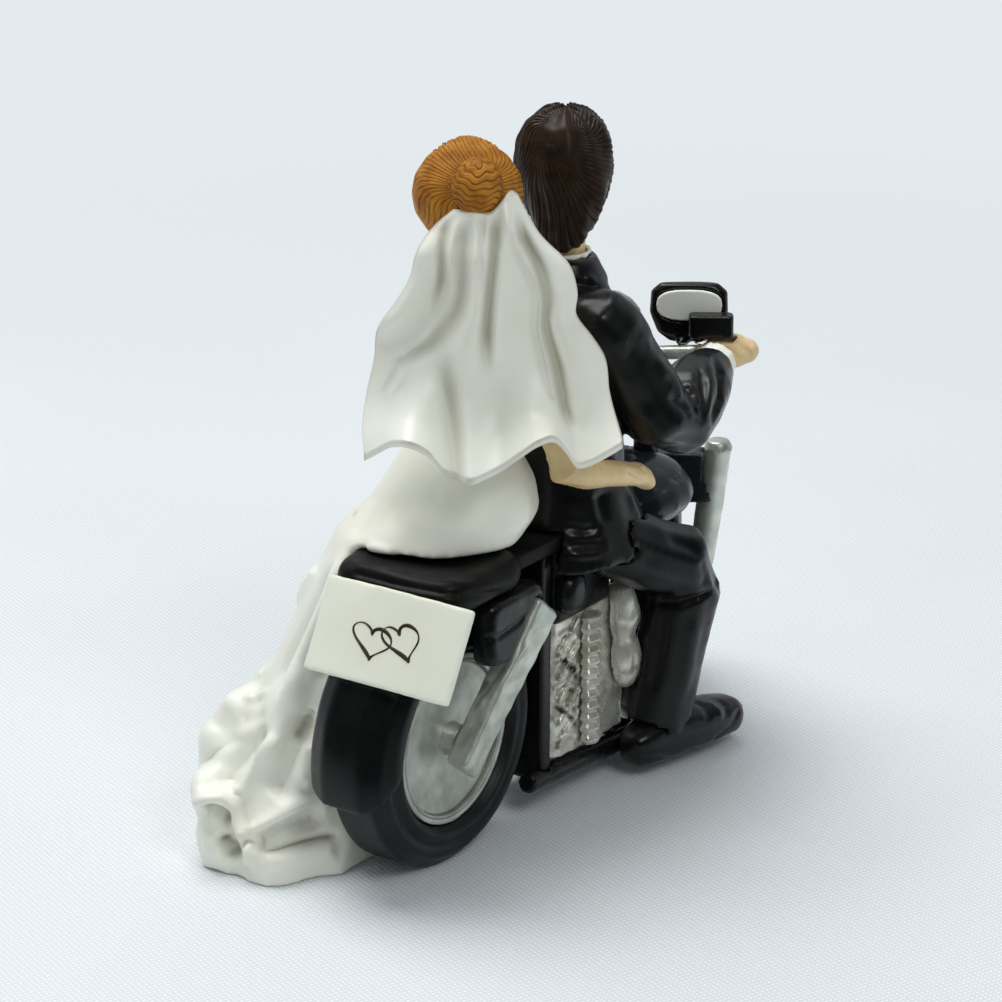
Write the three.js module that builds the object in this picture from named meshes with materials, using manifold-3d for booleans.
// Wedding cake topper: a painted cold-cast resin couple on a motorcycle, with the bride's veil and
// gown sculpted over the back of the machine. Millimetres, X to the rider's right, Y forwards, Z up.
import * as THREE from "three";
import { mergeVertices } from "three/addons/utils/BufferGeometryUtils.js";
import Module from "manifold-3d";

const wasm = await Module();
wasm.setup();

// Driving dimensions
const gap = 0.3; // between neighbouring castings
const standingFlat = 0.4; // ground off every foot so that the topper stands
const brideTurn = THREE.MathUtils.degToRad(35); // she is twisted to the left
const steerTurn = THREE.MathUtils.degToRad(33); // the front end is on left lock

// How finely the round forms are faceted
const facets = {
  wheel: 28, frontWheel: 24, guard: 32, frontGuard: 28, fan: 8, seat: 28, boss: 16, tube: 10, thinTube: 8,
    headTube: 12, fin: 8,
  cap: 12, tank: 20, mirror: 16, face: 20, lamp: 14, limb: 10, arm: 8, nose: 6, head: 12, hair: 14,
    torso: 16, collar: 12,
};

// The machine
const rearWheel = { radius: 21.6, halfWidth: 5.8, shoulder: 2.2, discRadius: 14.3, dish: 0.9,
  hubRadius: 2.6, rim: 1.5 };
const frontWheel = { radius: 18.6, halfWidth: 5, shoulder: 2, discRadius: 12, dish: 0.8, hubRadius: 2.4,
  rim: 1.3 };
const rearAxleHeight = rearWheel.radius - standingFlat;
const frontAxleHeight = frontWheel.radius - standingFlat;

const rearFender = {
  clearance: 1, wall: 1.9, halfWidth: 8.2, skirtDepth: 6.4, corner: 4.6, easeShare: 0.3,
  noseAngle: THREE.MathUtils.degToRad(40), tailAngle: THREE.MathUtils.degToRad(193),
  tailCut: THREE.MathUtils.degToRad(22),
};
const frontFender = {
  clearance: 0.9, wall: 1.5, halfWidth: 6.6, skirtDepth: 4.2, corner: 2.6, easeShare: 0.3,
  noseAngle: THREE.MathUtils.degToRad(25), tailAngle: THREE.MathUtils.degToRad(138),
  tailCut: THREE.MathUtils.degToRad(6),
};

const seat = {
  topHeight: 51.8, thickness: 5.6, tail: 11.6, halfWidth: 12.4, length: 23.2, roundness: 5,
  crownShares: [[0, 0.93], [0.3, 1], [0.62, 1], [0.86, 0.96], [1, 0.84]],
};
const riderSeat = { length: 29, halfWidth: 7.8, thickness: 2.8, corner: 3 };
const sign = { width: 28.6, height: 15.6, thickness: 1.3, bow: 2.2, back: 12.9, offset: 3,
  restHeight: 49.6, rise: 1, halfStops: 5 };
const sideCover = {
  length: 16.4, height: 11.6, thickness: 3.8, forward: 7.6, roundness: 5,
  shares: [[0, 1], [0.5, 1], [0.82, 0.95], [1, 0.84]],
};
const strut = {
  width: 4.2, depth: 7, footShare: 0.66, chamfer: 0.6, footReach: 6.4, topForward: 15.6, topHeight: 41.2,
  footBack: 4.4, footDrop: 2.6, splay: 0.4,
};

const engine = {
  halfWidth: 6.6, length: 22, floor: 8, height: 24.8, corner: 2, ribs: 5, rib: 0.9, ribDepth: 0.8,
    ribSlopeShare: 1.2,
};
const barrel = { radius: 3, rootRadius: 2.3, height: 24.2, fins: 12, forward: 35.4, floor: 8.6,
  rootShare: 0.1, finShare: 0.55 };
const exhaust = {
  forward: 44, height: 15, lean: 1.4, radius: 2.6,
  bulgeShares: [[0, 1], [0.25, 1.3], [0.5, 0.9], [0.75, 1.25], [1, 0.9]],
};
const airBox = { halfWidth: 7.4, length: 17, corner: 2.4 };
const oilCover = {
  forward: 28.6, height: 38.4, halfLength: 3.4, halfHeight: 3.8, bulge: 3, roundness: 2.2,
  shares: [[0, 1], [0.5, 0.96], [0.85, 0.75], [1, 0.45]],
};
const rail = { radius: 1.9, rearHeight: 6.6, frontHeight: 4.2, rear: 18.6, front: 52, spread: 6 };
const upright = { forward: 22.4, length: 3, halfWidth: 6.6, foot: 5.4 };
const downTube = { radius: 1.9, shares: [[0.2, 0.74], [-0.1, 0.28], [0, 0]] };
const backbone = { radius: 2.2, height: 41.6, fall: 3.8 };
const steeringHead = { radius: 3.1, length: 5.4, joinShare: 0.8 };
const tank = {
  forward: 55.2, halfLength: 12, halfWidth: 12, halfHeight: 5.6, height: 47, capRadius: 2.4, capHeight: 1.2,
  roundness: 2.6,
  shares: [[0, 0.66, 0.82, 0, 0], [0.25, 0.94, 0.97, 0, 0], [0.5, 1, 1, 0, 0], [0.8, 0.8, 0.86, 0, 0.02],
    [1, 0.4, 0.5, 0, 0.05]],
};

const fork = {
  pivotForward: 63.4, pivotRight: 0, barHeight: 69.2, rake: 0.25, axleSpread: 9.2, yokeSpread: 12.6,
    yokeHeight: 45,
  topHeight: 50.4, radius: 2.4, footRadius: 2, yokeThickness: 9, lugRadius: 3.2, stemRadius: 2.2,
    capHeight: 1.6,
  shroudCorner: 2.2, lugCorner: 2.6, capTaperShares: [0.8, 1.1],
    legShares: [[-0.1, 2], [0.1, 2], [0.45, 2.4], [1, 2.4]],
};
const bar = { radius: 1.3, halfLength: 15, sweep: 2, rise: 1.3, gripRadius: 1.7, gripLength: 7.4,
  gripOverhang: 0.6,
  stationShares: [-1, -0.6, -0.25, 0, 0.25, 0.6, 1] };
const control = {
  length: 7.6, height: 4, depth: 3.4, offset: 10.8, ahead: -1.3, lift: 5, corner: 0.9, neckFoot: 2.2,
};
const mirror = {
  stalkFoot: 5.4, stalkRadius: 1.1, faceDepth: 0.7,
  right: {
    width: 13.6, height: 10.2, depth: 4, spread: 7.1, ahead: 3, foot: 1.2, footLift: 0.6,
      stalkShare: 0.15, rim: 0.9,
    roundness: 2.7, faceHeight: 6, faceShare: 0.66,
    shares: [[0, 0.5, 0.6], [0.15, 0.8, 0.92], [0.5, 1, 1], [0.86, 0.97, 0.94], [1, 0.74, 0.56]],
  },
  left: {
    width: 12.4, height: 12.4, depth: 3, spread: 6.5, ahead: 4, foot: -2.8, footLift: -0.6,
      stalkShare: 0.02, rim: 0.8,
    roundness: 2, faceHeight: 10.8, faceShare: 0.5,
    shares: [[0, 0.28, 0.5], [0.1, 0.62, 0.8], [0.25, 0.88, 1], [0.5, 1, 1], [0.75, 0.88, 1],
      [0.9, 0.62, 0.8], [1, 0.28, 0.5]],
  },
};
const lamp = {
  radius: 6, length: 8.6, forward: 3, height: 59.6, lensRadius: 5, lensDepth: 1.4,
  shares: [[0, 0], [0, 0.3], [0.15, 0.62], [0.4, 0.88], [0.7, 1], [1, 1], [1, 0]],
};

// The groom
const rider = {
  forward: 36, hemHeight: 42.6, neckHeight: 94.8, halfWidth: 12.6, halfDepth: 14,
  shoulderSpread: 10.4, shoulderDrop: 11.4, shoulderBack: 3, elbowSpread: 16.6, elbowBack: 6.6,
    elbowHeight: 64.6,
  armRadius: 6, wristRadius: 3.8, cuffLength: 2, handRadius: 3.2, holdShare: 0.24,
    hemRise: THREE.MathUtils.degToRad(15),
  armShares: [1.05, 1, 0.98, 1.04], cuffShare: 0.94, waistDome: 0.4,
  fistShares: [[-0.95, 0.76], [-0.4, 1], [0.5, 0.98], [1.1, 0.74]],
  hipSpread: 8, hipAhead: 2, hipLift: 2.6, kneeSpread: 15, kneeForward: 53, kneeHeight: 36,
  ankleSpread: 10.6, ankleForward: 50.6, ankleHeight: 5.2, thighRadius: 6.5, kneeRadius: 6.5,
    shinRadius: 6.2, hemRadius: 6.2,
  shoeLift: 1.6, shoeLength: 27, shoeHalfWidth: 4.8, shoeHeight: 8.4, toeOut: 5, heelShare: 0.3,
  shoeRoundness: 2.6, shoeDomes: [0.8, 0.8],
  shoeShares: [[0.08, 0.76, 0.9], [0.3, 0.92, 1.05], [0.62, 1, 0.98], [0.9, 0.86, 0.8]],
  torsoRoundness: 2.3,
  torsoShares: [[0, 1.16, 1.1, 0, 0.1], [0.12, 1.04, 0.96, 0, 0.06], [0.32, 0.82, 0.7, 0, 0.02],
    [0.62, 0.94, 0.6, 0, -0.02],
    [0.84, 0.96, 0.5, 0, -0.04], [0.95, 0.66, 0.4, 0, 0.08], [1, 0.4, 0.36, 0, 0.2]],
};
const riderHead = {
  halfWidth: 7, halfDepth: 7.6, height: 21.6, neckRadius: 3.4, neckLength: 4.4, forward: 38.2,
  turn: THREE.MathUtils.degToRad(30),
  shares: [[0, 0.28, 0.32, 0, 0.5], [0.06, 0.5, 0.58, 0, 0.32], [0.22, 0.8, 0.85, 0, 0.12],
    [0.5, 1, 1, 0, 0], [0.78, 0.93, 0.95, 0, -0.04],
    [0.93, 0.6, 0.64, 0, -0.06], [1, 0.2, 0.22, 0, -0.06]],
  noseShares: [[0.86, 0.52, 0.1], [0.98, 0.42, 0.15], [1.02, 0.36, 0.2]],
};
const riderHair = {
  halfWidth: 8.3, halfDepth: 8.7, height: 23.6, back: 0.9, lift: -0.6, openShare: 0.16, browShare: 0.74,
  shares: [[0, 0.1, 0.12, 0, -0.5], [0.1, 0.42, 0.4, 0, -0.42], [0.3, 0.8, 0.76, 0, -0.16],
    [0.58, 1, 1, 0, 0], [0.82, 0.9, 0.9, 0, 0],
    [0.95, 0.6, 0.6, 0, 0], [1, 0.2, 0.2, 0, 0]],
};
const collar = {
  radius: 4.2, height: 3.4, deepShare: 1.06, coatShares: [[-0.6, 1.7], [0.2, 1.36], [0.6, 1.2]],
  shirtShares: [[0, 1], [0.6, 1], [0.95, 1.04]],
};

// The bride
const bride = {
  forward: 14, right: -2.2, waistHeight: 66, shoulderHeight: 92, bustHalfWidth: 8, bustHalfDepth: 5.8,
  shoulderSpread: 7, shoulderDrop: 5, armRadius: 2.6, wristRadius: 2.1, handRadius: 2.5, armReach: 66,
  swellShares: [1.1, 1, 1, 0.95], fingerShares: [0.8, 0.7],
  armShares: {
    right: [[0.2, 0.28, 0.96], [0.205, 0.57, 0.87]],
    left: [[-0.28, 0.42, 0.96], [-0.2, 0.66, 0.86]],
  },
  bodiceShares: [[-0.1, 0.7, 0.8, 0, 0], [0.25, 0.78, 0.9, 0, 0.02], [0.6, 0.98, 1.05, 0, 0.14],
    [0.85, 0.98, 0.8, 0, 0], [1, 0.5, 0.5, 0, 0]],
};
const brideHead = {
  halfWidth: 7, halfDepth: 7.4, height: 18, neckRadius: 2.9, neckLength: 8, baseHeight: 98, ahead: 1.6,
  shares: [[0, 0.28, 0.32, 0, 0.46], [0.07, 0.52, 0.6, 0, 0.28], [0.25, 0.84, 0.88, 0, 0.08],
    [0.52, 1, 1, 0, 0], [0.8, 0.9, 0.92, 0, 0],
    [0.94, 0.58, 0.6, 0, 0], [1, 0.2, 0.2, 0, 0]],
  noseShares: [[0.88, 0.5, 0.1], [0.98, 0.42, 0.13], [1.02, 0.37, 0.17]],
};
const brideHair = {
  halfWidth: 8.7, halfDepth: 8.7, height: 17.4, back: 0.8, lift: 1.2, openShare: 0.1, browShare: 0.76,
  shares: [[0, 0.2, 0.2, 0, 0], [0.08, 0.54, 0.54, 0, 0], [0.28, 0.89, 0.89, 0, 0], [0.5, 1, 1, 0, 0],
    [0.72, 0.89, 0.89, 0, 0],
    [0.92, 0.54, 0.54, 0, 0], [1, 0.2, 0.2, 0, 0]],
};
const brideBun = { radius: 4.2, halfHeight: 4.8, back: 9.6, across: 1.6, low: 8.4, deepShare: 0.96 };
const veil = {
  topHeight: 108, drop: 42, across: 2.8, halfWidthHem: 20.6, thickness: 1.8, fold: 1.3, bow: 9,
    back: 14.6, hemWave: 1.6,
  hemRise: 4, pleats: 3.5, phase: 0.6, columns: 24, rows: 7,
  widthShares: [[0, 0.2], [0.2, 0.5], [0.4, 0.72], [0.6, 0.84], [0.8, 0.93], [1, 1]],
  backShares: [[0, 0.72], [0.2, 0.78], [0.5, 0.78], [0.8, 0.86], [1, 1]],
};
const gown = {
  lapHeight: 68, reach: 30, fold: 0.06, folds: 8, columns: 32, rows: 10, wheelGap: 14,
  shares: [[0, -0.66, -0.14, 0.54, 0.77], [0.12, -0.74, -0.13, 0.54, 0.75],
    [0.25, -0.68, -0.04, 0.49, 0.66],
    [0.5, -0.45, 0.14, 0.45, 0.58], [0.74, -0.25, 0.28, 0.52, 0.5], [0.84, -0.1, 0.38, 0.48, 0.42],
    [0.94, -0.1, 0.44, 0.38, 0.3], [1, -0.1, 0.47, 0.26, 0.2]],
};

// Paints
const paints = {
  blackGloss: { color: 0x0b0d0e, roughness: 0.28, metalness: 0 },
  tyreBlack: { color: 0x15181a, roughness: 0.5, metalness: 0 },
  silver: { color: 0xb9bfbd, roughness: 0.35, metalness: 0.75 },
  ivory: { color: 0xe9e6da, roughness: 0.5, metalness: 0 },
  signWhite: { color: 0xe3e2d6, roughness: 0.5, metalness: 0 },
  skin: { color: 0xd9b183, roughness: 0.45, metalness: 0 },
  brownHair: { color: 0x2a1a12, roughness: 0.4, metalness: 0 },
  goldHair: { color: 0xb9761f, roughness: 0.5, metalness: 0 },
};

const UP = new THREE.Vector3(0, 0, 1);
const FORWARDS = new THREE.Vector3(0, 1, 0);
const TURN = 2 * Math.PI;
const point = (right, forward, height) => new THREE.Vector3(right, forward, height);
const sides = [["right", 1], ["left", -1]];

// Solids and meshes

// A closed geometry as a solid for joining and cutting, turned inside out if its faces point inwards.
function solidOf(geometry) {
  const bare = new THREE.BufferGeometry();
  bare.setAttribute("position", geometry.getAttribute("position"));
  if (geometry.index) bare.setIndex(geometry.index);
  const merged = mergeVertices(bare, 1e-4);
  const vertProperties = new Float32Array(merged.getAttribute("position").array);
  const triangles = [];
  const index = merged.index.array;
  for (let i = 0; i < index.length; i += 3) {
    const [a, b, c] = [index[i], index[i + 1], index[i + 2]];
    if (a !== b && b !== c && c !== a) triangles.push(a, b, c);
  }
  const made = new wasm.Manifold(new wasm.Mesh({ numProp: 3, vertProperties,
    triVerts: new Uint32Array(triangles) }));
  if (made.volume() > 0) return made;
  const reversed = new Uint32Array(triangles.length);
  for (let i = 0; i < triangles.length; i += 3) reversed.set([triangles[i], triangles[i + 2],
    triangles[i + 1]], i);
  return new wasm.Manifold(new wasm.Mesh({ numProp: 3, vertProperties, triVerts: reversed }));
}

// A solid as a three.js geometry.
function geometryOf(solid) {
  const { vertProperties, triVerts, numProp } = solid.getMesh();
  const positions = new Float32Array((vertProperties.length / numProp) * 3);
  for (let i = 0; i < positions.length / 3; i++) {
    positions.set(vertProperties.subarray(i * numProp, i * numProp + 3), i * 3);
  }
  const geometry = new THREE.BufferGeometry();
  geometry.setAttribute("position", new THREE.BufferAttribute(positions, 3));
  geometry.setIndex(new THREE.BufferAttribute(new Uint32Array(triVerts), 1));
  geometry.computeVertexNormals();
  return geometry;
}

// The same solid with every face moved outwards by a clearance.
function grown(solid, clearance) {
  const geometry = geometryOf(solid);
  const position = geometry.getAttribute("position");
  const normal = geometry.getAttribute("normal");
  const least = new Float32Array(position.count).fill(1);
  const index = geometry.index.array;
  const [a, b, c, n, face] = Array.from({ length: 5 }, () => new THREE.Vector3());
  for (let i = 0; i < index.length; i += 3) {
    a.fromBufferAttribute(position, index[i]);
    b.fromBufferAttribute(position, index[i + 1]).sub(a);
    c.fromBufferAttribute(position, index[i + 2]).sub(a);
    face.crossVectors(b, c).normalize();
    for (let k = 0; k < 3; k++) {
      const v = index[i + k];
      least[v] = Math.min(least[v], face.dot(n.fromBufferAttribute(normal, v)));
    }
  }
  for (let v = 0; v < position.count; v++) {
    const reach = clearance / Math.max(least[v], 0.5);
    n.fromBufferAttribute(normal, v).multiplyScalar(reach).add(a.fromBufferAttribute(position, v));
    position.setXYZ(v, n.x, n.y, n.z);
  }
  return solidOf(geometry);
}

// The biggest piece that is left after a cut.
function mainPiece(solid) {
  return solid.decompose().reduce((best, piece) => (piece.volume() > best.volume() ? piece : best));
}

// A closed skin through rings of points, with a fan over each end.
function skin(rings) {
  const sides = rings[0].length;
  const vertices = rings.flat();
  const first = vertices.length;
  for (const ring of [rings[0], rings[rings.length - 1]]) {
    vertices.push(ring.reduce((sum, p) => sum.add(p), new THREE.Vector3()).divideScalar(sides));
  }
  const index = [];
  for (let i = 0; i < sides; i++) {
    const next = (i + 1) % sides;
    for (let r = 0; r + 1 < rings.length; r++) {
      const [low, high] = [r * sides, (r + 1) * sides];
      index.push(low + i, low + next, high + next, low + i, high + next, high + i);
    }
    const top = (rings.length - 1) * sides;
    index.push(first, next, i, first + 1, top + i, top + next);
  }
  const geometry = new THREE.BufferGeometry().setFromPoints(vertices);
  geometry.setIndex(index);
  return solidOf(geometry);
}

// A ring round a centre: an ellipse at power 2, squarer above it.
function ring(centre, right, up, across, along, { sides, power = 2, ripple = () => 1 }) {
  return Array.from({ length: sides }, (_, i) => {
    const angle = (i / sides) * TURN;
    const [c, s] = [Math.cos(angle), Math.sin(angle)];
    const swell = ripple(angle);
    const a = across * swell * Math.sign(c) * Math.abs(c) ** (2 / power);
    const b = along * swell * Math.sign(s) * Math.abs(s) ** (2 / power);
    return centre.clone().addScaledVector(right, a).addScaledVector(up, b);
  });
}

// A limb through knots [place, half-width, half-height], with its ends domed or cut flat.
function limb(knots,
{ sides = facets.limb, steps = 8, power = 2, up = UP, domes = [1, 1], domeSteps = 2 } = {}) {
  const line = new THREE.CatmullRomCurve3(knots.map(([at]) => at), false, "catmullrom", 0.5);
  const sizes = new THREE.CatmullRomCurve3(knots.map(([, across, along]) =>
    point(across, along ?? across, 0)));
  const frameAt = (t) => {
    const along = line.getTangent(t);
    const right = new THREE.Vector3().crossVectors(along, up).normalize();
    return [along, right, new THREE.Vector3().crossVectors(right, along)];
  };
  const rings = [];
  const cap = (t, outwards) => {
    const [along, right, top] = frameAt(t);
    const size = sizes.getPoint(t);
    const reach = domes[t] * Math.min(size.x, size.y) * outwards;
    const turns = Array.from({ length: domeSteps }, (_, i) =>
      ((i + 1) / (domeSteps + 0.35)) * (Math.PI / 2));
    const made = turns.map((turn) =>
      ring(line.getPoint(t).addScaledVector(along, reach * Math.sin(turn)), right, top,
        size.x * Math.cos(turn), size.y * Math.cos(turn), { sides, power }));
    return outwards < 0 ? made.reverse() : made;
  };
  if (domes[0] > 0) rings.push(...cap(0, -1));
  for (let i = 0; i <= steps; i++) {
    const [, right, top] = frameAt(i / steps);
    const size = sizes.getPoint(i / steps);
    rings.push(ring(line.getPoint(i / steps), right, top, size.x, size.y, { sides, power }));
  }
  if (domes[1] > 0) rings.push(...cap(1, 1));
  return skin(rings);
}

// A form built up from level slices: rows of shares [height, width, depth, right, forward].
function stacked(base, size, rows, { sides = 16, steps = 12, power = 2, turn = 0, ripple = () => 1 } = {}) {
  const curves = [0, 1].map((half) =>
    new THREE.CatmullRomCurve3(rows.map((row) =>
    point(row[half * 3] ?? 0, row[half * 3 + 1] ?? 0, row[half * 3 + 2] ?? 0)), false, "catmullrom", 0.5));
  const right = FORWARDS.clone().cross(UP).applyAxisAngle(UP, turn);
  const ahead = FORWARDS.clone().applyAxisAngle(UP, turn);
  const rings = Array.from({ length: steps + 1 }, (_, i) => {
    const t = i / steps;
    const [a, b] = curves.map((curve) => curve.getPoint(t));
    const centre = base.clone().addScaledVector(UP, a.x * size.height)
      .addScaledVector(right, b.x * size.halfWidth).addScaledVector(ahead, b.y * size.halfDepth);
    return ring(centre, right, ahead, a.y * size.halfWidth, a.z * size.halfDepth,
      { sides, power, ripple: (angle) => ripple(angle, t) });
  });
  return skin(rings);
}

// A solid of revolution about the bike's cross axis, from a closed profile [radius, right].
function turnedWheel(profile, height, forward, segments) {
  const lathe = new THREE.LatheGeometry(profile.map(([radius, right]) =>
    new THREE.Vector2(radius, right)), segments);
  lathe.rotateZ(-Math.PI / 2);
  lathe.rotateX(Math.PI / segments);
  lathe.translate(0, forward, height);
  return solidOf(lathe);
}

// A flat outline in the bike's side view [forward, height], pulled out along X between two planes.
function sidePlate(outline, from, thickness, { bevel = 0, smooth = false } = {}) {
  const points = outline.map(([forward, height]) => new THREE.Vector2(forward, height));
  const shape = new THREE.Shape();
  if (smooth) shape.setFromPoints(new THREE.SplineCurve([...points, points[0]])
    .getPoints(points.length * 3).slice(0, -1));
  else shape.setFromPoints(points);
  const geometry = new THREE.ExtrudeGeometry(shape, {
    depth: thickness - 2 * bevel, bevelEnabled: bevel > 0, bevelThickness: bevel, bevelSize: bevel,
      bevelOffset: -bevel, bevelSegments: 1,
  });
  geometry.applyMatrix4(new THREE.Matrix4().makeBasis(FORWARDS, UP, point(1, 0, 0)));
  geometry.translate(from + bevel, 0, 0);
  return solidOf(geometry);
}

// A raised form on a side face: rings that step outwards by shares [reach, size].
function sideBoss(base, reach, halfLength, halfHeight, shares, power) {
  return skin(shares.map(([out, size]) => ring(base.clone().add(point(reach * out, 0, 0)), FORWARDS, UP,
    halfLength * size, halfHeight * size, { sides: facets.boss, power })));
}

// A rounded block with its middle at a point.
function block(centre, width, length, height, corner) {
  const shape = new THREE.Shape();
  const [w, l] = [width / 2, length / 2];
  shape.moveTo(-w + corner, -l);
  shape.lineTo(w - corner, -l);
  shape.quadraticCurveTo(w, -l, w, -l + corner);
  shape.lineTo(w, l - corner);
  shape.quadraticCurveTo(w, l, w - corner, l);
  shape.lineTo(-w + corner, l);
  shape.quadraticCurveTo(-w, l, -w, l - corner);
  shape.lineTo(-w, -l + corner);
  shape.quadraticCurveTo(-w, -l, -w + corner, -l);
  const geometry = new THREE.ExtrudeGeometry(shape,
    { depth: height, bevelEnabled: false, curveSegments: 3 });
  geometry.translate(centre.x, centre.y, centre.z - height / 2);
  return solidOf(geometry);
}

// Moves a solid by a three.js matrix.
function moved(solid, matrix) {
  return solidOf(geometryOf(solid).applyMatrix4(matrix));
}

// Everything below the ground, for the flats that the topper stands on.
function groundCutter(reach) {
  const box = new THREE.BoxGeometry(reach, reach, reach);
  box.translate(0, 0, -reach / 2);
  return solidOf(box);
}
const ground = groundCutter(10 * rearWheel.radius);

// The assembly
const topper = new THREE.Group();
const castings = new Map();

// Adds a casting, cut clear of the castings already there that it touches.
function place(name, solid, paint, touching = []) {
  const clearOf = (left, other) =>
    left.subtract(grown(castings.get(other), gap)).subtract(castings.get(other));
  const cut = touching.reduce(clearOf, solid);
  const whole = mainPiece(cut);
  castings.set(name, whole);
  const mesh = new THREE.Mesh(geometryOf(whole),
    new THREE.MeshStandardMaterial({ name: paint, ...paints[paint] }));
  mesh.name = name;
  topper.add(mesh);
}

// Wheels

// A tyre with rounded shoulders round its wheel disc.
function tyre(wheel) {
  const { radius, halfWidth: w, shoulder, discRadius } = wheel;
  const bore = discRadius + gap;
  const half = [[bore, w - shoulder / 2], [bore + shoulder / 2, w], [radius - shoulder, w],
    [radius, w - shoulder]];
  const profile = [...half, ...half.map(([r, x]) => [r, -x]).reverse()];
  return [...profile, profile[0]];
}

// A dished wheel disc with a raised rim and a hub boss that reaches out to its carrier.
function disc(wheel, hubReach) {
  const { halfWidth: w, discRadius, dish, hubRadius, rim } = wheel;
  const face = w - dish;
  const half = [[0, hubReach], [hubRadius, hubReach], [hubRadius, face - dish],
    [discRadius - rim, face - dish],
    [discRadius - rim, face], [discRadius, face]];
  return [...half, ...half.map(([r, x]) => [r, -x]).reverse()];
}

// A mudguard over an arc of the wheel, with deep skirts and rounded corners.
function mudguard(wheel, guard, fromAngle, toAngle, segments) {
  const outer = wheel.radius + guard.clearance + guard.wall;
  const inner = wheel.radius + guard.clearance;
  const [w, edge] = [guard.halfWidth, outer - guard.skirtDepth];
  const half = [[edge, w], [outer - guard.corner, w],
    [outer - guard.corner * guard.easeShare, w - guard.corner * guard.easeShare],
    [outer, w - guard.corner]];
  const hollow = [[inner, w - guard.corner], [inner - guard.wall / 2, w - guard.wall],
    [edge, w - guard.wall]];
  const profile = [...half, ...half.map(([r, x]) => [r, -x]).reverse(),
    ...hollow.map(([r, x]) => [r, -x]).reverse(), ...hollow];
  const shell = turnedWheel([...profile, profile[0]], 0, 0, segments);
  const reach = 2 * outer;
  const steps = facets.fan;
  const at = (angle, radius) => [radius * Math.cos(angle), radius * Math.sin(angle)];
  const fan = Array.from({ length: steps + 1 }, (_, i) =>
    at(fromAngle + ((toAngle - fromAngle) * i) / steps, reach));
  const tail = [at(toAngle, outer), at(toAngle - guard.tailCut / 3, outer - guard.skirtDepth / 2),
    at(toAngle - guard.tailCut, edge - guard.wall)];
  return shell.intersect(sidePlate([[0, 0], ...fan, ...tail], -2 * w, 4 * w));
}

// The steered front end is built straight ahead and then turned about the steering head.
const steering = new THREE.Matrix4()
  .makeTranslation(fork.pivotRight, fork.pivotForward, 0)
  .multiply(new THREE.Matrix4().makeRotationZ(steerTurn));
const steered = (solid) => moved(solid, steering);
const rakeAt = (height) => (fork.barHeight - height) * fork.rake;
const frontAxleForward = rakeAt(frontAxleHeight);

function placeWheels() {
  const hubReach = strut.footReach;
  const tyreSolid = turnedWheel(tyre(rearWheel), rearAxleHeight, 0, facets.wheel).subtract(ground);
  place("rear_wheel_disc", turnedWheel(disc(rearWheel, hubReach), rearAxleHeight, 0, facets.wheel),
    "silver");
  place("rear_tyre", tyreSolid, "tyreBlack");
  const frontReach = fork.axleSpread - fork.footRadius - gap;
  place("front_wheel_disc",
    steered(turnedWheel(disc(frontWheel, frontReach), frontAxleHeight, frontAxleForward,
    facets.frontWheel)), "silver");
  const frontTyre = steered(turnedWheel(tyre(frontWheel), frontAxleHeight, frontAxleForward,
    facets.frontWheel));
  place("front_tyre", frontTyre.subtract(ground), "tyreBlack");
}

// Rear end of the machine

const seatLow = seat.topHeight - seat.thickness;
const guardOuter = rearWheel.radius + rearFender.clearance + rearFender.wall;
const strutFace = rearFender.halfWidth + gap;

function placeSeats() {
  const middle = point(0, seat.length / 2 - seat.tail, seatLow);
  const pillion = skin(seat.crownShares.map(([up, swell]) =>
    ring(middle.clone().add(point(0, 0, seat.thickness * up)),
    point(1, 0, 0), FORWARDS, seat.halfWidth * swell, (seat.length / 2) * swell,
      { sides: facets.seat, power: seat.roundness })));
  place("pillion_seat", pillion, "blackGloss");
  const rear = seat.length - seat.tail + gap;
  const pad = block(point(0, rear + riderSeat.length / 2, seatLow + riderSeat.thickness / 2),
    2 * riderSeat.halfWidth, riderSeat.length,
    riderSeat.thickness, riderSeat.corner);
  place("rider_seat", pad, "blackGloss");
}

function placeRearFender() {
  const guard = mudguard(rearWheel, rearFender, rearFender.noseAngle, rearFender.tailAngle, facets.guard);
  const lifted = new THREE.Matrix4().makeTranslation(0, 0, rearAxleHeight);
  place("rear_fender", moved(guard, lifted), "blackGloss", ["pillion_seat"]);
}

// A chamfered square bar from one point to another: its width is level, and its foot is narrowed from the rear.
function squareBar(from, to, width, depth, chamfer, footShare) {
  const [w, d] = [width / 2, depth / 2];
  const shape = new THREE.Shape();
  shape.moveTo(-w + chamfer, -d);
  for (const [a, b] of [[w - chamfer, -d], [w, -d + chamfer], [w, d - chamfer], [w - chamfer, d],
    [-w + chamfer, d], [-w, d - chamfer], [-w, -d + chamfer]]) shape.lineTo(a, b);
  const bevel = { bevelEnabled: true, bevelThickness: chamfer, bevelSize: chamfer, bevelOffset: -chamfer,
    bevelSegments: 1 };
  const length = from.distanceTo(to);
  const geometry = new THREE.ExtrudeGeometry(shape, { depth: length - 2 * chamfer, ...bevel });
  const along = to.clone().sub(from).normalize();
  const side = point(1, 0, 0).addScaledVector(along, -along.x).normalize();
  geometry.translate(0, 0, chamfer);
  const spots = geometry.getAttribute("position");
  for (let i = 0; i < spots.count; i++) {
    const share = footShare + (1 - footShare) * (spots.getZ(i) / length);
    spots.setY(i, d + (spots.getY(i) - d) * share);
  }
  geometry.applyMatrix4(new THREE.Matrix4().makeBasis(side, along.clone().cross(side), along));
  geometry.translate(from.x, from.y, from.z);
  return solidOf(geometry);
}

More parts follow.
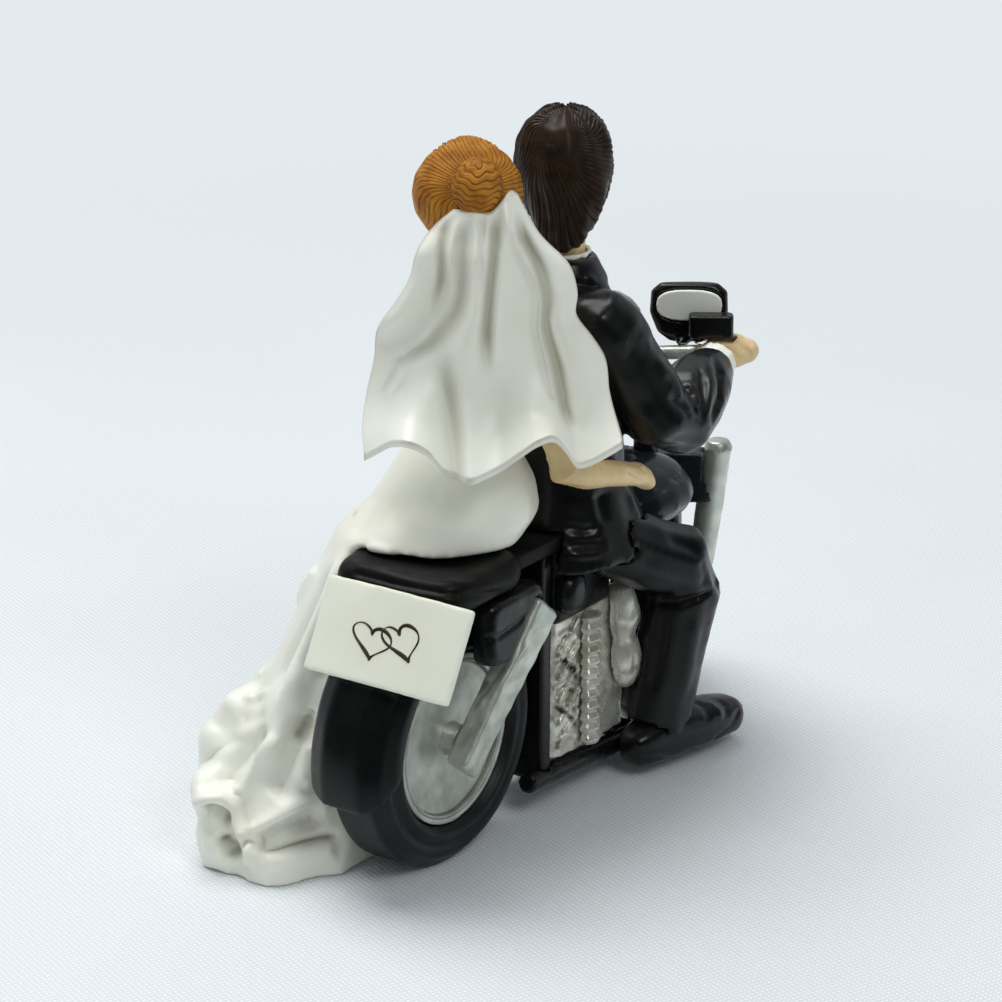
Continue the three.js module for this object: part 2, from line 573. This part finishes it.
function placeStrut() {
  const head = point(strutFace + strut.splay + strut.width / 2, strut.topForward, strut.topHeight);
  const foot = point(strut.footReach + strut.width / 2, -strut.footBack, rearAxleHeight - strut.footDrop);
  const bar = squareBar(foot, head, strut.width, strut.depth, strut.chamfer, strut.footShare);
  place("fender_strut", bar, "silver", ["rear_fender", "rear_wheel_disc"]);
  const centre = point(strutFace, sideCover.forward, seatLow - gap - sideCover.height / 2);
  const cover = sideBoss(centre, sideCover.thickness, sideCover.length / 2, sideCover.height / 2,
    sideCover.shares,
    sideCover.roundness);
  place("side_cover", cover, "blackGloss", ["fender_strut", "rear_fender"]);
}

// The sign board leans from the seat's tail to where it rests tangent on the mudguard.
function placeSign() {
  const half = sign.width / 2;
  const radius = (half ** 2 + sign.bow ** 2) / (2 * sign.bow);
  const spread = Math.asin(half / radius);
  const stops = Array.from({ length: 2 * sign.halfStops + 1 }, (_, i) => i / sign.halfStops - 1);
  const arc = (r) => stops.map((share) => spread * share)
    .map((angle) => new THREE.Vector2(r * Math.sin(angle), radius - r * Math.cos(angle)));
  const shape = new THREE.Shape([...arc(radius), ...arc(radius - sign.thickness).reverse()]);
  const geometry = new THREE.ExtrudeGeometry(shape, { depth: sign.height, bevelEnabled: false });
  const rest = point(0, -sign.back, sign.restHeight - rearAxleHeight);
  const lean = Math.asin((guardOuter + gap) / rest.length()) - Math.atan2(-rest.y, rest.z);
  geometry.translate(0, -sign.thickness, -sign.height + sign.rise);
  geometry.rotateX(-lean);
  geometry.translate(sign.offset, rest.y, rest.z + rearAxleHeight);
  place("sign_board", solidOf(geometry), "signWhite", ["pillion_seat", "rear_fender"]);
}

// Frame and engine

function tube(points, radius, { sides: count = facets.tube, steps = 8 } = {}) {
  const shape = new THREE.Shape(ring(point(0, 0, 0), point(1, 0, 0), point(0, 1, 0), radius, radius,
    { sides: count })
    .map((p) => new THREE.Vector2(p.x, p.y)));
  const extrudePath = new THREE.CatmullRomCurve3(points, false, "catmullrom", 0.5);
  return solidOf(new THREE.ExtrudeGeometry(shape, { steps, extrudePath, bevelEnabled: false }));
}

const postFront = upright.forward + upright.length;
const engineRear = postFront + gap;
const engineTop = engine.floor + engine.height;
const engineFront = engineRear + engine.length;

function placeFrame() {
  const postHeight = seatLow - gap - upright.foot;
  const postMiddle = point(0, upright.forward + upright.length / 2, upright.foot + postHeight / 2);
  const post = block(postMiddle, 2 * upright.halfWidth, upright.length, postHeight, upright.length / 4);
  place("frame_post", post, "blackGloss", ["rear_fender", "rear_tyre"]);
  const headTop = fork.yokeHeight - fork.yokeThickness / 2 - gap;
  const head = point(0, fork.pivotForward, headTop);
  const headTube = tube([head, point(0, fork.pivotForward, headTop - steeringHead.length)],
    steeringHead.radius,
    { sides: facets.headTube, steps: 1 });
  const backboneRear = point(0, postFront + gap, backbone.height);
  const backboneFront = point(0, fork.pivotForward, backbone.height - backbone.fall);
  const spine = tube([backboneRear, backboneFront], backbone.radius, { steps: 1 });
  place("frame_backbone", headTube.add(spine), "blackGloss", ["rider_seat"]);
  for (const [side, hand] of sides) {
    const rear = point(hand * rail.spread, rail.rear, rail.rearHeight);
    const front = point(hand * rail.spread, rail.front, rail.frontHeight);
    place(`frame_rail_${side}`, tube([rear, front], rail.radius, { steps: 1 }), "blackGloss",
      ["rear_tyre", "frame_post"]);
  }
  const top = point(0, fork.pivotForward - steeringHead.radius / 2,
    headTop - steeringHead.length * steeringHead.joinShare);
  const [high, low, foot] = downTube.shares.map(([forward, up]) =>
    point(0, rail.front + (fork.pivotForward - rail.front) * forward,
      rail.frontHeight + (top.z - rail.frontHeight) * up));
  const cross = tube([point(-rail.spread, rail.front, rail.frontHeight),
    point(rail.spread, rail.front, rail.frontHeight)],
    rail.radius, { steps: 1 });
  const down = tube([top, high, low, foot], downTube.radius, { sides: facets.thinTube, steps: 6 });
  place("down_tube", down.add(cross), "blackGloss",
    ["frame_backbone", "frame_rail_right", "frame_rail_left"]);
}

// Ribs cast across the crankcase side, sloping forwards and up.
function caseRibs(hand) {
  const ribs = [];
  const pitch = engine.height / (engine.ribs + 1);
  for (let i = 0; i < engine.ribs; i++) {
    const low = engine.floor + pitch * (i + 0.5);
    const from = point(hand * engine.halfWidth, engineRear + engine.rib, low);
    const to = point(hand * engine.halfWidth, barrel.forward - barrel.radius,
      low + pitch * engine.ribSlopeShare);
    const outline = [[from.y, from.z], [to.y, to.z], [to.y, to.z + engine.rib],
      [from.y, from.z + engine.rib]];
    ribs.push(sidePlate(outline, from.x - engine.ribDepth, 2 * engine.ribDepth));
  }
  return ribs;
}

function placeEngine() {
  const middle = point(0, (engineRear + engineFront) / 2, engine.floor + engine.height / 2);
  let crankcase = block(middle, 2 * engine.halfWidth, engine.length, engine.height, engine.corner);
  for (const [, hand] of sides) for (const rib of caseRibs(hand)) crankcase = crankcase.add(rib);
  place("engine_case", crankcase, "silver", ["frame_rail_right", "frame_rail_left", "down_tube"]);
  for (const [side, hand] of sides) {
    const pitch = barrel.height / barrel.fins;
    const profile = [new THREE.Vector2(0, 0)];
    for (let i = 0; i < barrel.fins; i++) {
      for (const [radius, share] of [[barrel.rootRadius, barrel.rootShare],
        [barrel.radius, barrel.finShare]]) {
        profile.push(new THREE.Vector2(radius, pitch * (i + share)));
      }
    }
    profile.push(new THREE.Vector2(0, pitch * barrel.fins));
    const lathe = new THREE.LatheGeometry(profile, facets.fin);
    lathe.rotateX(Math.PI / 2);
    lathe.translate(hand * engine.halfWidth, barrel.forward, barrel.floor);
    place(`finned_cylinder_${side}`, solidOf(lathe), "silver", ["engine_case", `frame_rail_${side}`]);
    const bulges = exhaust.bulgeShares.map(([share, swell]) => [
      point(hand * (engine.halfWidth + exhaust.radius / 2), exhaust.forward + exhaust.lean * share,
        engineTop - exhaust.height * share),
      exhaust.radius * swell]);
    const pipe = limb(bulges, { steps: 12, up: FORWARDS });
    place(`exhaust_${side}`, pipe, "silver",
      ["engine_case", `finned_cylinder_${side}`, `frame_rail_${side}`]);
  }
}

function placeAirBox() {
  const [low, high] = [Math.max(engineTop, barrel.floor + barrel.height) + gap, seatLow - gap];
  const middle = point(0, engineRear + airBox.length / 2, (low + high) / 2);
  let box = block(middle, 2 * airBox.halfWidth, airBox.length, high - low, airBox.corner);
  for (const [, hand] of sides) {
    const centre = point(hand * (airBox.halfWidth - gap), oilCover.forward, oilCover.height);
    box = box.add(sideBoss(centre, hand * oilCover.bulge, oilCover.halfLength, oilCover.halfHeight,
    oilCover.shares, oilCover.roundness));
  }
  place("air_box", box, "blackGloss", ["frame_backbone", "exhaust_right", "exhaust_left"]);
}

// The tank has a notch in its front for the steering head.
function placeFuelTank() {
  const size = { halfWidth: tank.halfWidth, halfDepth: tank.halfLength, height: 2 * tank.halfHeight };
  const body = stacked(point(0, tank.forward, tank.height - tank.halfHeight), size, tank.shares,
    { sides: facets.tank, steps: 5, power: tank.roundness });
  const headRoom = fork.stemRadius + gap;
  const notch = block(point(0, fork.pivotForward - headRoom + tank.halfLength / 2, tank.height),
    2 * headRoom, tank.halfLength,
    4 * tank.halfHeight, gap);
  const cap = new THREE.CylinderGeometry(tank.capRadius, tank.capRadius, tank.capHeight + tank.halfHeight,
    facets.cap);
  cap.rotateX(Math.PI / 2);
  cap.translate(0, tank.forward, tank.height + tank.halfHeight / 2 + tank.capHeight / 2);
  place("fuel_tank", body.add(solidOf(cap)).subtract(notch), "blackGloss",
    ["frame_backbone", "rider_seat", "air_box", "fork_yoke",
    "fork_leg_right", "fork_leg_left"]);
}

// Front end, straight ahead with the steering head at the origin

const front = (name, solid, paint, touching) => place(name, steered(solid), paint, touching);

function placeFork() {
  const yokeAhead = rakeAt(fork.yokeHeight);
  const shroud = block(point(0, yokeAhead, fork.yokeHeight), 2 * fork.yokeSpread, 2 * fork.radius,
    fork.yokeThickness, fork.shroudCorner);
  const lug = block(point(0, yokeAhead / 2, fork.yokeHeight), 2 * fork.lugRadius,
    yokeAhead + 2 * fork.stemRadius,
    fork.yokeThickness, fork.lugCorner);
  const stem = tube([point(0, 0, fork.yokeHeight), point(0, 0, fork.barHeight - bar.radius - gap)],
    fork.stemRadius, { steps: 1 });
  for (const [side, hand] of sides) {
    const spreadAt = (share) => fork.axleSpread + (fork.yokeSpread - fork.axleSpread) * share;
    const knot = (share, radius) => {
      const height = frontAxleHeight + (fork.topHeight - frontAxleHeight) * share;
      return [point(hand * spreadAt(share), rakeAt(height), height), radius];
    };
    const knots = fork.legShares.map(([share, radius]) => knot(share, radius));
    const top = knot(1, 0)[0];
    const [capTop, capFoot] = fork.capTaperShares.map((share) => fork.radius * share);
    const cap = new THREE.CylinderGeometry(capTop, capFoot, fork.capHeight, facets.cap);
    cap.rotateX(Math.PI / 2);
    cap.translate(top.x, top.y, top.z + fork.capHeight / 2);
    const leg = limb(knots, { steps: 5, up: FORWARDS, domes: [0, 0] }).add(solidOf(cap));
    front(`fork_leg_${side}`, leg, "silver", ["front_wheel_disc"]);
  }
  front("fork_yoke", shroud.add(lug).add(stem), "blackGloss", ["fork_leg_right", "fork_leg_left"]);
  const guard = mudguard(frontWheel, frontFender, frontFender.noseAngle, frontFender.tailAngle,
    facets.frontGuard);
  const lifted = new THREE.Matrix4().makeTranslation(0, frontAxleForward, frontAxleHeight);
  front("front_fender", moved(guard, lifted), "blackGloss",
    ["fork_leg_right", "fork_leg_left", "fork_yoke", "frame_backbone", "down_tube"]);
}

const barAt = (offset) =>
  point(offset, -bar.sweep * (offset / bar.halfLength) ** 2,
  fork.barHeight + bar.rise * (offset / bar.halfLength) ** 2);

function placeHandlebar() {
  const path = bar.stationShares.map((share) => barAt(share * bar.halfLength));
  front("handlebar", tube(path, bar.radius, { sides: facets.thinTube, steps: 10 }), "silver",
    ["fork_yoke"]);
  for (const [side, hand] of sides) {
    const inner = barAt(hand * (bar.halfLength - bar.gripLength));
    const outer = barAt(hand * (bar.halfLength + bar.gripOverhang));
    const grip = limb([[inner, bar.gripRadius], [outer, bar.gripRadius]], { steps: 1, domes: [0, 0] });
    front(`grip_${side}`, grip, "blackGloss", ["handlebar"]);
    const perch = barAt(hand * control.offset);
    const base = perch.clone().add(point(0, control.ahead, control.lift));
    const reservoir = block(base, control.length, control.depth, control.height, control.corner);
    const aside = point(-hand * (control.length / 2 - bar.radius - gap), 0, 0);
    const neckFoot = perch.clone().add(aside).add(point(0, control.ahead / 2, control.neckFoot));
    const neck = tube([neckFoot, base.clone().add(aside)], bar.radius, { steps: 1 });
    front(`brake_reservoir_${side}`, reservoir.add(neck), "blackGloss", ["handlebar", `grip_${side}`]);
  }
}

// The room that a grip takes up inside the fist that closes over its end
function gripRoom(hand) {
  const inner = barAt(hand * (bar.halfLength - bar.gripLength));
  const outer = barAt(hand * (bar.halfLength + bar.gripOverhang));
  const along = outer.clone().sub(inner).normalize();
  const from = inner.clone().addScaledVector(along, -bar.gripLength);
  const to = outer.clone().addScaledVector(along, gap);
  return limb([[from, bar.gripRadius + gap], [to, bar.gripRadius + gap]], { steps: 1, domes: [0, 0] });
}

// Mirrors: a rounded housing on the right and a round one on the left, with a flat face let into the back of each
function placeMirrors() {
  for (const [side, hand] of sides) {
    const glass = mirror[side];
    const foot = barAt(hand * glass.spread);
    const low = foot.z + glass.foot;
    const centre = (height) => point(foot.x, foot.y + glass.ahead, height);
    const rows = glass.shares.map(([up, across, deep]) =>
      ring(centre(low + glass.height * up), point(1, 0, 0), FORWARDS,
      (glass.width / 2) * across, (glass.depth / 2) * deep,
      { sides: facets.mirror, power: glass.roundness }));
    const housing = skin(rows);
    const faceMiddle = centre(low + glass.height * glass.faceShare).add(point(0, -glass.depth / 2, 0));
    const outline = (swell) => ring(point(0, 0, 0), point(1, 0, 0), UP,
      glass.width / 2 - glass.rim - swell, glass.faceHeight / 2 - swell,
      { sides: facets.face, power: glass.roundness });
    const plate = (swell, from, to) =>
      skin([from, to].map((back) => outline(swell).map((p) => p.add(faceMiddle).add(point(0, back, 0)))));
    const recess = plate(0, -gap, mirror.faceDepth + gap);
    const stalkFoot = barAt(hand * mirror.stalkFoot).add(point(0, 0, glass.footLift));
    const stalk = tube([stalkFoot, centre(low + glass.height * glass.stalkShare)], mirror.stalkRadius,
      { sides: facets.thinTube, steps: 1 });
    const whole = housing.add(stalk).subtract(recess);
    front(`mirror_housing_${side}`, whole, side === "right" ? "blackGloss" : "silver",
      ["handlebar", `brake_reservoir_${side}`]);
    front(`mirror_face_${side}`, plate(gap, 0, mirror.faceDepth), "signWhite", ["handlebar"]);
  }
}

function placeHeadlamp() {
  const profile = lamp.shares.map(([along, size]) =>
    new THREE.Vector2(lamp.radius * size, lamp.length * along));
  const shell = solidOf(new THREE.LatheGeometry(profile, facets.lamp).translate(0, lamp.forward, 0));
  const lift = new THREE.Matrix4().makeTranslation(0, 0, lamp.height);
  const lensProfile = [[0, 0], [lamp.lensRadius, 0], [lamp.lensRadius, lamp.lensDepth / 2],
    [lamp.lensRadius / 2, lamp.lensDepth], [0, lamp.lensDepth]]
    .map(([radius, along]) => new THREE.Vector2(radius, along));
  const lens = solidOf(new THREE.LatheGeometry(lensProfile, facets.lamp)
    .translate(0, lamp.forward + lamp.length - lamp.lensDepth / 2, 0));
  front("headlamp_shell", moved(shell.subtract(grown(lens, gap)), lift), "silver", ["fork_yoke"]);
  front("headlamp_lens", moved(lens, lift), "signWhite");
}

// Heads, each turned to face its own way

// Moves a piece that was made facing forwards at the origin to where a figure stands and looks.
function facing(solid, at, turn) {
  const spin = new THREE.Matrix4().makeRotationZ(turn);
  return moved(solid, new THREE.Matrix4().makeTranslation(at.x, at.y, at.z).multiply(spin));
}

// A head on its neck, with a plain brow, nose and chin.
function headOf(head) {
  const skull = stacked(point(0, 0, 0), head, head.shares, { sides: facets.head, steps: 8 });
  const neck = limb([[point(0, 0, -head.neckLength), head.neckRadius],
    [point(0, 0, head.height / 4), head.neckRadius]],
    { sides: facets.arm, steps: 1, up: FORWARDS, domes: [0, 0] });
  const nose = limb(head.noseShares.map(([ahead, up, size]) =>
    [point(0, head.halfDepth * ahead, head.height * up), head.halfWidth * size]),
    { sides: facets.nose, steps: 2, domeSteps: 1 });
  return skull.add(neck).add(nose);
}

// Hair over the back and sides of a head, open in front of the ears.
function hairOf(hair, head) {
  const cap = stacked(point(0, -hair.back, hair.lift), hair, hair.shares, { sides: facets.hair, steps: 8 });
  const opening = block(point(0, head.halfDepth * hair.openShare + head.halfDepth,
    head.height * hair.browShare / 2),
    4 * hair.halfWidth, 2 * head.halfDepth, head.height * hair.browShare, head.halfDepth / 2);
  return cap.subtract(opening);
}

// Groom

function placeGroomHead() {
  const base = point(0, riderHead.forward, rider.neckHeight);
  place("groom_head", facing(headOf(riderHead), base, riderHead.turn), "skin");
  place("groom_hair", facing(hairOf(riderHair, riderHead), base, riderHead.turn), "brownHair",
    ["groom_head"]);
}

// The room that the groom's clothes leave for the rider seat and what is under it.
function saddleRoom() {
  const top = seatLow + riderSeat.thickness + gap;
  return block(point(0, rider.forward, top / 2), 2 * (riderSeat.halfWidth + gap), 4 * rider.halfDepth,
    top, gap);
}

// The room under the coat's hem, which rises to the front over the thighs.
function hemRoom() {
  const reach = 4 * rider.halfDepth;
  const under = block(point(0, reach / 2, -reach / 2), reach, reach, reach, gap);
  const hinge = new THREE.Matrix4().makeTranslation(0, rider.forward, rider.hemHeight);
  return moved(under, hinge.multiply(new THREE.Matrix4().makeRotationX(rider.hemRise)));
}

function placeGroomBody() {
  const base = point(0, rider.forward, rider.hemHeight);
  const neck = point(0, riderHead.forward, rider.neckHeight - riderHead.neckLength);
  const size = { halfWidth: rider.halfWidth, halfDepth: rider.halfDepth, height: neck.z - rider.hemHeight };
  const torso = stacked(base, size, rider.torsoShares,
    { sides: facets.torso, steps: 7, power: rider.torsoRoundness });
  const bands = (rows, reach) =>
    skin(rows.map(([up, swell]) => ring(neck.clone().add(point(0, 0, collar.height * up)),
    point(1, 0, 0), FORWARDS, reach * swell, reach * swell * collar.deepShare, { sides: facets.collar })));
  const coatCollar = bands(collar.coatShares, collar.radius);
  const coat = torso.subtract(saddleRoom()).subtract(hemRoom()).add(coatCollar);
  place("groom_jacket", coat, "blackGloss", ["groom_head", "fuel_tank"]);
  place("shirt_collar", bands(collar.shirtShares, collar.radius), "signWhite",
    ["groom_head", "groom_jacket", "groom_hair"]);
}

// Arms: a sleeve from shoulder to wrist, a shirt cuff and a fist closed round the grip.
function placeGroomArms() {
  for (const [side, hand] of sides) {
    const grip = barAt(hand * (bar.halfLength - bar.gripLength * rider.holdShare)).applyMatrix4(steering);
    const shoulder = point(hand * rider.shoulderSpread, rider.forward - rider.shoulderBack,
      rider.neckHeight - rider.shoulderDrop);
    const elbow = point(hand * rider.elbowSpread, (shoulder.y + grip.y) / 2 - rider.elbowBack,
      rider.elbowHeight);
    const reach = grip.clone().sub(elbow);
    const along = (back) => grip.clone().addScaledVector(reach, -back / reach.length());
    const [palm, wrist] = [rider.handRadius, rider.wristRadius];
    const cuffEnd = palm + gap + rider.cuffLength;
    const sleeveEnd = along(cuffEnd + gap);
    const middle = shoulder.clone().lerp(elbow, 0.5);
    const forearm = elbow.clone().lerp(sleeveEnd, 0.5);
    const bends = [shoulder, middle, elbow, forearm].map((at, i) =>
      [at, rider.armRadius * rider.armShares[i]]);
    const sleeve = limb([...bends, [sleeveEnd, wrist]], { steps: 7, domes: [1, 0] });
    const held = barAt(hand * (bar.halfLength - bar.gripLength * rider.holdShare));
    const knuckles = rider.fistShares.map(([out, swell]) =>
      [held.clone().add(point(hand * palm * out, 0, 0)), palm * swell]);
    const fist = steered(limb(knuckles, { steps: 4 }).subtract(gripRoom(hand)));
    place(`groom_hand_${side}`, fist, "skin", [`brake_reservoir_${side}`, `mirror_housing_${side}`]);
    const cuff = limb([along(cuffEnd), along(palm + gap)].map((at) => [at, wrist * rider.cuffShare]),
      { steps: 1, domes: [0, 0] });
    place(`shirt_cuff_${side}`, cuff, "signWhite", [`grip_${side}`, "handlebar", `groom_hand_${side}`]);
    place(`groom_sleeve_${side}`, sleeve, "blackGloss",
      ["groom_jacket", "handlebar", `groom_hand_${side}`, `shirt_cuff_${side}`]);
  }
}

function placeGroomLegs() {
  for (const [side, hand] of sides) {
    const hip = point(hand * rider.hipSpread, rider.forward + rider.hipAhead,
      rider.hemHeight + rider.hipLift);
    const knee = point(hand * rider.kneeSpread, rider.kneeForward, rider.kneeHeight);
    const ankle = point(hand * rider.ankleSpread, rider.ankleForward, rider.ankleHeight);
    const knots = [[hip, rider.thighRadius], [hip.clone().lerp(knee, 0.5), rider.thighRadius],
      [knee, rider.kneeRadius],
      [knee.clone().lerp(ankle, 0.5), rider.shinRadius], [ankle, rider.hemRadius]];
    const trouser = limb(knots, { steps: 7, domes: [rider.waistDome, 0], up: FORWARDS.clone().add(UP) });
    const heel = ankle.y - rider.shoeLength * rider.heelShare;
    const toed = ([share, across, high]) => [
      point(hand * (rider.ankleSpread + rider.toeOut * share), heel + rider.shoeLength * share,
        rider.shoeLift + rider.shoeHeight * high / 2),
      rider.shoeHalfWidth * across, rider.shoeHeight * high / 2];
    const shoe = limb(rider.shoeShares.map(toed),
      { steps: 6, power: rider.shoeRoundness, domes: rider.shoeDomes });
    place(`groom_shoe_${side}`, shoe, "blackGloss", [`frame_rail_${side}`, "front_tyre"]);
    place(`trouser_leg_${side}`, trouser.subtract(saddleRoom()), "blackGloss",
      [`groom_shoe_${side}`, "groom_jacket", "fuel_tank",
      `exhaust_${side}`, "front_tyre", "front_fender"]);
  }
}

// Bride, built in her own frame: across to her right, ahead of her, and up

const brideTurned = new THREE.Matrix4().makeTranslation(bride.right, bride.forward, 0)
  .multiply(new THREE.Matrix4().makeRotationZ(brideTurn));
const brideAt = (across, ahead, height) => point(across, ahead, height).applyMatrix4(brideTurned);

function placeBrideHead() {
  const base = brideAt(0, brideHead.ahead, brideHead.baseHeight);
  place("bride_head", facing(headOf(brideHead), base, brideTurn), "skin");
  place("bride_hair", facing(hairOf(brideHair, brideHead), base, brideTurn), "goldHair",
    ["bride_head", "groom_hair"]);
  const bunSize = { halfWidth: brideBun.radius, halfDepth: brideBun.radius * brideBun.deepShare,
    height: 2 * brideBun.halfHeight };
  const bun = stacked(point(brideBun.across, -brideBun.back, brideBun.low), bunSize, brideHair.shares,
    { sides: facets.head, steps: 6 });
  place("bride_bun", facing(bun, base, brideTurn), "goldHair", ["bride_hair", "groom_hair"]);
}

// The veil: a gathered sheet, thick enough to cast, whose pleats open out towards a waving hem.
function placeVeil() {
  const spline = (shares) => new THREE.SplineCurve(shares.map(([t, value]) => new THREE.Vector2(t, value)));
  const widthAt = spline(veil.widthShares);
  const backAt = spline(veil.backShares);
  const rings = Array.from({ length: veil.rows + 1 }, (_, r) => {
    const t = r / veil.rows;
    const halfWidth = widthAt.getPoint(t).y * veil.halfWidthHem;
    const back = backAt.getPoint(t).y * veil.back;
    const face = (outwards) => Array.from({ length: veil.columns + 1 }, (_, c) => {
      const u = (2 * c) / veil.columns - 1;
      const wave = Math.cos(Math.PI * veil.pleats * u + veil.phase) * (1 - u * u / 3);
      const wrap = veil.bow * u * u * (1 + 2 * t) / 3;
      const height = veil.topHeight - veil.drop * t + t * (veil.hemWave * wave + veil.hemRise * u * u);
      const across = brideBun.across + (veil.across - brideBun.across) * t + halfWidth * u;
      return brideAt(across, -back + wrap - veil.fold * t * wave - (outwards * veil.thickness) / 2, height);
    });
    return [...face(1), ...face(-1).reverse()];
  });
  place("bride_veil", skin(rings), "ivory",
    ["bride_hair", "bride_bun", "bride_head", "groom_jacket", "groom_sleeve_right",
    "groom_hair", "groom_head", "shirt_collar"]);
}

// The gown: bodice and skirt, lapped over the pillion seat and down the left side to a train on the ground.
function placeGown() {
  const size = { halfWidth: bride.bustHalfWidth, halfDepth: bride.bustHalfDepth,
    height: bride.shoulderHeight - bride.waistHeight };
  const bodice = stacked(brideAt(0, 0, bride.waistHeight), size, bride.bodiceShares,
    { sides: facets.head, steps: 5, turn: brideTurn });
  const curveOf = (pick) =>
    new THREE.CatmullRomCurve3(gown.shares.map((row) => point(...pick(row))), false, "catmullrom", 0.5);
  const places = curveOf(([height, right, forward]) => [right, forward, height]);
  const spans = curveOf(([, , , across, along]) => [across, along, 0]);
  const rings = Array.from({ length: gown.rows + 1 }, (_, i) => {
    const [at, span] = [places.getPoint(i / gown.rows), spans.getPoint(i / gown.rows)];
    const low = 1 - at.z;
    const ripple = (angle) =>
      1 + gown.fold * low * (Math.cos(gown.folds * angle + 3 * low) + Math.sin(2 * gown.folds * angle) / 3);
    return ring(point(at.x * gown.reach, at.y * gown.reach, at.z * gown.lapHeight), point(1, 0, 0),
      FORWARDS,
      span.x * gown.reach, span.y * gown.reach, { sides: gown.columns, ripple });
  });
  const skirt = skin(rings).subtract(machineBay());
  place("bride_gown", skirt.add(bodice), "ivory",
    ["bride_head", "bride_veil", "pillion_seat", "groom_jacket", "groom_sleeve_left",
    "trouser_leg_left", "sign_board"]);
}

// The room that the skirt leaves for the machine: the side of the mudguard and the seat's underside.
function machineBay() {
  const reach = 4 * gown.reach;
  const side = rearFender.halfWidth + gap;
  const low = rearWheel.halfWidth + gap;
  const upper = block(point(reach - side, 0, (seat.topHeight + gown.wheelGap) / 2), 2 * reach, 2 * reach,
    seat.topHeight - gown.wheelGap, gap);
  const lower = block(point(reach - low, 0, 0), 2 * reach, 2 * reach, 2 * gown.wheelGap + gap, gap);
  return upper.add(lower);
}

// Her arms pass round the groom's waist.
function placeBrideArms() {
  for (const [side, hand] of sides) {
    const shoulder = brideAt(hand * bride.shoulderSpread, 0, bride.shoulderHeight - bride.shoulderDrop);
    const [elbowShares, wristShares] = bride.armShares[side];
    const elbow = point(...elbowShares.map((share) => share * bride.armReach));
    const wrist = point(...wristShares.map((share) => share * bride.armReach));
    const reach = wrist.clone().sub(elbow).normalize();
    const [upper, palm] = [bride.armRadius, bride.handRadius];
    const tip = wrist.clone().addScaledVector(reach, 2 * palm).add(point(0, 0, -palm / 2));
    const bends = [shoulder, shoulder.clone().lerp(elbow, 0.5), elbow, elbow.clone().lerp(wrist, 0.5)];
    const palmAt = wrist.clone().addScaledVector(reach, palm);
    const [fingerWide, fingerHigh] = bride.fingerShares;
    const arm = limb([...bends.map((at, i) => [at, upper * bride.swellShares[i]]),
      [wrist, bride.wristRadius],
      [palmAt, palm, bride.wristRadius], [tip, palm * fingerWide, bride.wristRadius * fingerHigh]],
    { sides: facets.arm, steps: 9 });
    place(`bride_arm_${side}`, arm, "skin",
      ["groom_jacket", `groom_sleeve_${side}`, "bride_veil", "bride_gown", `trouser_leg_${side}`]);
  }
}

placeWheels();
placeSeats();
placeRearFender();
placeStrut();
placeSign();
placeFrame();
placeEngine();
placeAirBox();
placeFork();
placeFuelTank();
placeHandlebar();
placeMirrors();
placeHeadlamp();
placeGroomHead();
placeGroomBody();
placeGroomArms();
placeGroomLegs();
placeBrideHead();
placeVeil();
placeGown();
placeBrideArms();

// The origin is the middle of the footprint, on the ground.
const extent = new THREE.Box3().setFromObject(topper);
topper.position.set(-(extent.min.x + extent.max.x) / 2, -(extent.min.y + extent.max.y) / 2, -extent.min.z);
export default topper;
